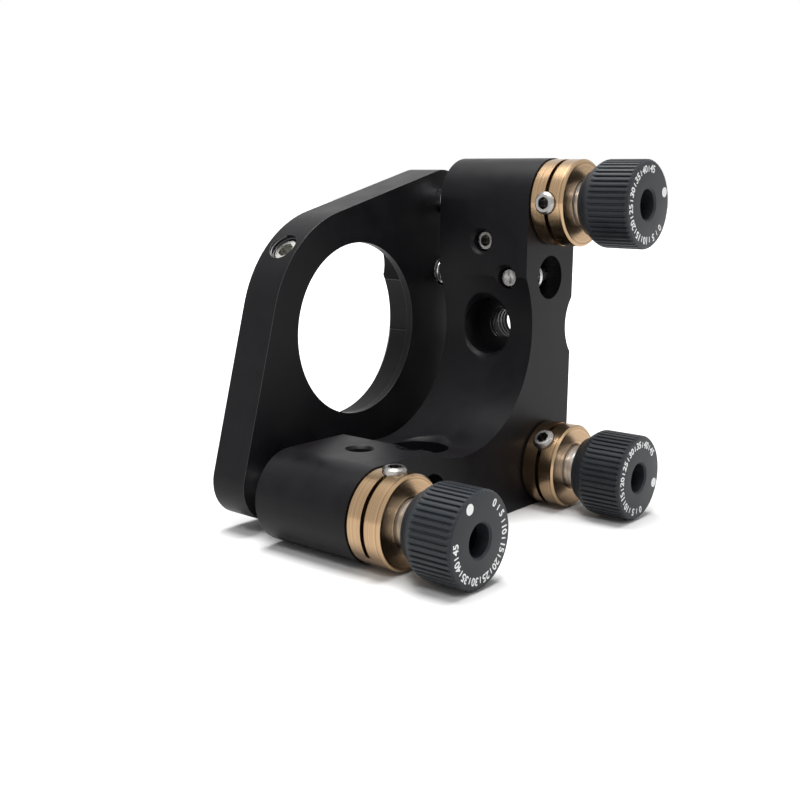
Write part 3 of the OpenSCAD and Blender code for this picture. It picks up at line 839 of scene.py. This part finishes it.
# %% Tree: flutes pressed into a turned grip
def make_flute_tree():
    tree, given, result = new_node_tree(
        "flutes",
        [
            ("Centre", "NodeSocketVector"), ("Count", "NodeSocketFloat"), ("Depth", "NodeSocketFloat"),
            ("Start", "NodeSocketFloat"), ("End", "NodeSocketFloat"), ("Fade", "NodeSocketFloat"),
            ("Inner", "NodeSocketFloat"), ("Material", "NodeSocketMaterial"),
        ],
    )
    place = tree.nodes.new("GeometryNodeInputPosition")
    arm = add_node(tree, "ShaderNodeVectorMath", operation="SUBTRACT")
    flat = add_node(tree, "ShaderNodeVectorMath", operation="MULTIPLY")
    flat.inputs[1].default_value = (1, 0, 1)
    unit = add_node(tree, "ShaderNodeVectorMath", operation="NORMALIZE")
    size = add_node(tree, "ShaderNodeVectorMath", operation="LENGTH")
    parts = add_node(tree, "ShaderNodeSeparateXYZ")
    wire_up(
        tree,
        (place.outputs["Position"], arm.inputs[0]), (given.outputs["Centre"], arm.inputs[1]),
        (arm.outputs["Vector"], flat.inputs[0]), (flat.outputs["Vector"], unit.inputs[0]),
        (flat.outputs["Vector"], size.inputs[0]), (arm.outputs["Vector"], parts.inputs["Vector"]),
    )
    around = add_math(tree, "ARCTAN2", parts.outputs["Z"], parts.outputs["X"])
    wave = add_math(tree, "COSINE", add_math(tree, "MULTIPLY", around, given.outputs["Count"]))
    # cut off at both levels, the wave leaves flat ridges between flat-bottomed grooves
    groove = add_node(
        tree, "ShaderNodeMapRange", {"From Min": -0.15, "From Max": 0.75}, interpolation_type="SMOOTHSTEP"
    )
    tree.links.new(wave, groove.inputs["Value"])
    along = parts.outputs["Y"]
    after_start = add_math(tree, "SUBTRACT", along, given.outputs["Start"])
    before_end = add_math(tree, "SUBTRACT", given.outputs["End"], along)
    from_end = add_math(tree, "MINIMUM", after_start, before_end)
    nearer = add_math(tree, "DIVIDE", from_end, given.outputs["Fade"])
    ends = add_math(tree, "MAXIMUM", add_math(tree, "MINIMUM", nearer, 1.0), 0.0)
    outside = add_math(tree, "GREATER_THAN", size.outputs["Value"], given.outputs["Inner"])
    press = add_math(tree, "MULTIPLY", add_math(tree, "MULTIPLY", groove.outputs["Result"], ends), outside)
    inward = add_math(tree, "MULTIPLY", add_math(tree, "MULTIPLY", press, given.outputs["Depth"]), -1.0)
    push = add_node(tree, "ShaderNodeVectorMath", operation="SCALE")
    move = tree.nodes.new("GeometryNodeSetPosition")
    wire_up(
        tree,
        (unit.outputs["Vector"], push.inputs[0]), (inward, push.inputs["Scale"]),
        (given.outputs["Geometry"], move.inputs["Geometry"]), (push.outputs["Vector"], move.inputs["Offset"]),
    )
    end_tree(tree, given, result, move.outputs["Geometry"])
    return tree


flutes = make_flute_tree()
print("tree", flutes.name, len(flutes.nodes), "nodes")

# %% Knobs
FLUTES = 48
FLUTE_DEPTH = 0.24 * MM
FLUTE_START = 2.2 * MM
FLUTE_END = 8.1 * MM
FLUTE_FADE = 0.45 * MM
FLUTE_FLOOR = 5.4 * MM
knob_face = {}
for corner in CORNERS:
    low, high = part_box(f"knob_{corner}")
    axis = adjuster_axis[corner]
    section = spin_section(f"knob_body_{corner}", KNOB_SECTION, axis, low.y, SECTIONS_ROUND)
    knob = grow(f"knob_{corner}_turned", flutes, {
        "Centre": (axis.x, low.y, axis.z), "Count": float(FLUTES), "Depth": FLUTE_DEPTH,
        "Start": FLUTE_START, "End": FLUTE_END, "Fade": FLUTE_FADE, "Inner": FLUTE_FLOOR,
        "Material": knob_black,
    }, section)
    soften(knob, 28)
    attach(knob, f"adjuster_{corner}")
    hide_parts(f"knob_{corner}")
    knob_face[corner] = high.y

# %% [markdown]
# ## Dial marks
# White paint fills an index dot and a ring of plain numbers on each knob's face. A painted-on image would
# blur close up, so the numbers are text made into thin meshes. The ticks between them repeat, so they come
# from points on an arc in Geometry Nodes.

# %% Where the dot of each knob stands at rest, in degrees round the axis
DOT_ANGLE = {"top": 160.0, "side": 62.0, "corner": 198.0}
MARK_RADIUS = 4.62 * MM
MARK_DEPTH = 0.02 * MM
SPAN = 238.0
NUMBERS = [str(5 * i) for i in range(10)]
print("numbers on each dial:", " ".join(NUMBERS))


def on_dial(corner, degrees, radius):
    """A frame on the knob's face: X runs round the dial, Y points outwards, Z points off the face."""
    a = math.radians(degrees)
    axis = adjuster_axis[corner]
    outward = Vector((math.cos(a), 0, math.sin(a)))
    around = outward.cross(Vector((0, 1, 0)))
    turn = Matrix((around, outward, Vector((0, 1, 0)))).transposed().to_4x4()
    place = Vector((axis.x, knob_face[corner], axis.z)) + outward * radius
    return Matrix.Translation(place) @ turn


# %% Numbers and dots
NUMBER_HEIGHT = 0.95 * MM
SIZE_FOR_HEIGHT = 1.4
STROKE_GAIN = 0.03 * MM
DOT_RADIUS = 0.66 * MM
DOT_PLACE = 4.66 * MM


def number_piece(text, height):
    curve = bpy.data.curves.new("number", "FONT")
    curve.body = text
    curve.size = height * SIZE_FOR_HEIGHT
    curve.align_x = "CENTER"
    curve.align_y = "CENTER"
    curve.extrude = MARK_DEPTH
    curve.offset = STROKE_GAIN
    curve.resolution_u = 3
    carrier = bpy.data.objects.new("number", curve)
    bpy.context.collection.objects.link(carrier)
    graph = bpy.context.evaluated_depsgraph_get()
    mesh = bpy.data.meshes.new_from_object(carrier.evaluated_get(graph))
    bpy.data.objects.remove(carrier)
    return mesh


def dial_numbers(corner):
    pieces = []
    for i, text in enumerate(NUMBERS):
        degrees = DOT_ANGLE[corner] + 180 + SPAN * (i / (len(NUMBERS) - 1) - 0.5)
        mesh = number_piece(text, NUMBER_HEIGHT)
        mesh.transform(on_dial(corner, degrees, MARK_RADIUS))
        mesh.materials.clear()
        pieces.append(new_piece(f"number_{corner}_{text}", mesh, print_white))
    dot = rod("dot", DOT_RADIUS, (0, 0, -MARK_DEPTH), (0, 0, MARK_DEPTH), 40)
    dot.data.transform(on_dial(corner, DOT_ANGLE[corner], DOT_PLACE))
    dot.data.materials.append(print_white)
    marks = join(pieces + [dot])
    marks.name = f"marks_{corner}"
    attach(marks, f"adjuster_{corner}")
    print(marks.name, len(marks.data.polygons), "faces")


for corner in CORNERS:
    dial_numbers(corner)


# %% Tree: ticks on an arc round an axis along Y
def make_tick_tree():
    tree, given, result = new_node_tree(
        "ticks",
        [
            ("Centre", "NodeSocketVector"), ("First", "NodeSocketFloat"), ("Step", "NodeSocketFloat"),
            ("Count", "NodeSocketInt"), ("Radius", "NodeSocketFloat"), ("Size", "NodeSocketVector"),
            ("Material", "NodeSocketMaterial"),
        ],
    )
    points = tree.nodes.new("GeometryNodePoints")
    index = tree.nodes.new("GeometryNodeInputIndex")
    tick = tree.nodes.new("GeometryNodeMeshCube")
    spread = tree.nodes.new("GeometryNodeInstanceOnPoints")
    steps = add_math(tree, "MULTIPLY", index.outputs["Index"], given.outputs["Step"])
    angle = add_math(tree, "ADD", steps, given.outputs["First"])
    across = add_math(tree, "MULTIPLY", add_math(tree, "COSINE", angle), given.outputs["Radius"])
    upward = add_math(tree, "MULTIPLY", add_math(tree, "SINE", angle), given.outputs["Radius"])
    place = tree.nodes.new("ShaderNodeCombineXYZ")
    turn = tree.nodes.new("ShaderNodeCombineXYZ")
    shift = add_node(tree, "ShaderNodeVectorMath", operation="ADD")
    wire_up(
        tree,
        (given.outputs["Count"], points.inputs["Count"]),
        (across, place.inputs["X"]),
        (upward, place.inputs["Z"]),
        (place.outputs["Vector"], shift.inputs[0]), (given.outputs["Centre"], shift.inputs[1]),
        (shift.outputs["Vector"], points.inputs["Position"]),
        (add_math(tree, "MULTIPLY", angle, -1.0), turn.inputs["Y"]),
        (given.outputs["Size"], tick.inputs["Size"]),
        (points.outputs["Points"], spread.inputs["Points"]),
        (tick.outputs["Mesh"], spread.inputs["Instance"]),
        (turn.outputs["Vector"], spread.inputs["Rotation"]),
    )
    end_tree(tree, given, result, spread.outputs["Instances"])
    return tree


ticks = make_tick_tree()
print("tree", ticks.name, len(ticks.nodes), "nodes")

# %% Ticks
TICK_SIZE = (0.75 * MM, 2 * MARK_DEPTH, 0.16 * MM)
for corner in CORNERS:
    axis = adjuster_axis[corner]
    step = math.radians(SPAN / (len(NUMBERS) - 1))
    first = math.radians(DOT_ANGLE[corner] + 180 - SPAN / 2) + step / 2
    scale = grow(f"ticks_{corner}", ticks, {
        "Centre": (axis.x, knob_face[corner], axis.z), "First": first, "Step": step,
        "Count": len(NUMBERS) - 1, "Radius": MARK_RADIUS, "Size": TICK_SIZE,
        "Material": print_white,
    })
    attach(scale, f"adjuster_{corner}")

# %% [markdown]
# ## Bushes, screws, balls and seats
# These pieces are plain turned forms, and their imported solids already show every step and socket, so each
# keeps its solid and only gets a finish. The hexagon sockets get painted shade from a mask round each
# screw's own axis: darker than the rims, and near black on the small screws.

# %% Finish for a headless screw, with painted shade inside its socket
def socket_steel(node, axis, inner, outer, dark, light):
    material, tree, shader = new_finish(f"steel_{node}", Metallic=1.0)
    texture = add_group(tree, surface_grain, Scale=900.0, Smoothest=0.22, Roughest=0.34, Grain=0.1)
    tree.links.new(texture.outputs["Roughness"], shader.inputs["Roughness"])
    tree.links.new(texture.outputs["Normal"], shader.inputs["Normal"])
    # painted shade: the mask darkens the socket round the screw's own axis
    reach = add_group(
        tree, reach_from_axis, Centre=middle(node), Axis=Vector(axis).normalized(), Inner=inner, Outer=outer
    )
    colour = tint(tree, reach.outputs["Mask"], dark, light)
    tree.links.new(colour, shader.inputs["Base Color"])
    return material


def dress(node, material):
    for slot in nodes[node].material_slots:
        slot.material = material


# %% Screws
SCREW_AXES = {
    "lock_screw_top": (1, 0, 0), "lock_screw_corner": (1, 0, 1), "lock_screw_side": (0, 0, 1),
    "bush_screw_top": (1, 0, 0), "bush_screw_side": (0, 0, 1), "mirror_screw": (1, 0, 1),
}
# painted shade in the sockets: near black on the small screws, a paler grey on the mirror's clamping screw
DEEP_SOCKET_SHADE = {
    "inner": 0.76 * MM, "outer": 0.86 * MM, "dark": (0.1, 0.095, 0.09), "light": (0.3, 0.29, 0.28),
}
PALE_SOCKET_SHADE = {
    "inner": 1.05 * MM, "outer": 1.15 * MM, "dark": (0.5, 0.5, 0.47), "light": (0.66, 0.66, 0.63),
}
for node, axis in SCREW_AXES.items():
    socket = PALE_SOCKET_SHADE if node == "mirror_screw" else DEEP_SOCKET_SHADE
    dress(node, socket_steel(node, axis, **socket))
for node in ("anchor_screw_left", "anchor_screw_bottom"):
    dress(node, screw_steel)
print(len(SCREW_AXES) + 2, "screws finished")

# %% Bushes, adjusters, balls, seats and pins
for corner in CORNERS:
    dress(f"bush_{corner}", bronze[corner])
    dress(f"adjuster_screw_{corner}", thread_steel[corner])
    dress(f"ball_{corner}", hard_steel)
for node in ("cone_seat", "vee_seat", "flat_seat"):
    dress(node, hard_steel)
for node in ("spring_pin_left", "spring_pin_bottom"):
    dress(node, wire_steel)
dress("mirror_screw_tip", soft_white)
print("slots on a packed piece:", len(nodes["bush_top"].material_slots))

# %% [markdown]
# ## Floor and light
# A pale floor and an even, white surrounding are most of what a small black part needs. Under the part the
# floor is a plain surface that takes its shadow. Further off it turns white with a glow that only the
# camera and reflections see, because more lamp light would wash out the part. A large lamp above draws the
# broad highlights along the round barrels, a small one beside the camera picks out the rims of the holes,
# and a weak one behind the knobs keeps the rear faces from going flat.

# %% Mask that is 1 for rays from the camera, or by way of a mirror or glass
def seen_directly(tree):
    ray = add_node(tree, "ShaderNodeLightPath")
    clear = add_math(tree, "MAXIMUM", ray.outputs["Is Camera Ray"], ray.outputs["Is Transmission Ray"])
    return add_math(tree, "MAXIMUM", clear, ray.outputs["Is Glossy Ray"])


# %% Floor, grey under the part and white further off
FLOOR_SIZE = 4
FLOOR_GAP = 0.02 * MM
FLOOR_COLOUR = (0.78, 0.78, 0.78, 1)
GLOW_FROM, GLOW_FULL = 70 * MM, 300 * MM


def make_floor():
    bpy.ops.mesh.primitive_plane_add(size=FLOOR_SIZE, location=(0, 0, cad_box[0].z - FLOOR_GAP))
    floor = bpy.context.object
    floor.name = "floor"
    material, tree, shader = new_finish("floor_white", Roughness=0.6, Specular_IOR_Level=0.2)
    shader.inputs["Base Color"].default_value = FLOOR_COLOUR
    shader.inputs["Emission Color"].default_value = (1, 1, 1, 1)
    place = add_node(tree, "ShaderNodeTexCoord")
    away = add_node(tree, "ShaderNodeVectorMath", operation="LENGTH")
    tree.links.new(place.outputs["Object"], away.inputs[0])
    rise = add_node(tree, "ShaderNodeMapRange", {"From Min": GLOW_FROM, "From Max": GLOW_FULL})
    tree.links.new(away.outputs["Value"], rise.inputs["Value"])
    glow = add_math(tree, "MULTIPLY", seen_directly(tree), rise.outputs["Result"])
    tree.links.new(glow, shader.inputs["Emission Strength"])
    floor.data.materials.append(material)
    return floor


floor = make_floor()
print("floor at", round(floor.location.z / MM, 2), "mm")


# %% Surroundings and lamps
AMBIENT = 0.32
LAMP_TARGET = (0, 0.01, 0)
LAMPS = {
    "overhead": {"place": (0.0, -0.03, 0.42), "side": 0.3, "power": 3.4},
    "key": {"place": (0.24, 0.14, 0.31), "side": 0.1, "power": 0.5},
    "rear_box": {"place": (-0.1, 0.42, 0.25), "side": 0.2, "power": 0.3},
}


def make_surroundings(ambient):
    world = bpy.data.worlds.new("studio")
    bpy.context.scene.world = world
    world.use_nodes = True
    tree = world.node_tree
    background = tree.nodes["Background"]
    background.inputs["Color"].default_value = (1, 1, 1, 1)
    shown = add_math(tree, "MULTIPLY", seen_directly(tree), 1.0 - ambient)
    tree.links.new(add_math(tree, "ADD", shown, ambient), background.inputs["Strength"])


def make_lamp(name, place, side, power):
    lamp = bpy.data.objects.new(name, bpy.data.lights.new(name, "AREA"))
    lamp.data.shape = "SQUARE"
    lamp.data.size = side
    lamp.data.energy = power
    lamp.location = Vector(place)
    lamp.rotation_euler = (Vector(LAMP_TARGET) - Vector(place)).to_track_quat("-Z", "Y").to_euler()
    bpy.context.collection.objects.link(lamp)
    print("lamp", name, power, "W")


make_surroundings(AMBIENT)
for name, lamp in LAMPS.items():
    make_lamp(name, **lamp)
bpy.context.scene.view_settings.view_transform = "Standard"
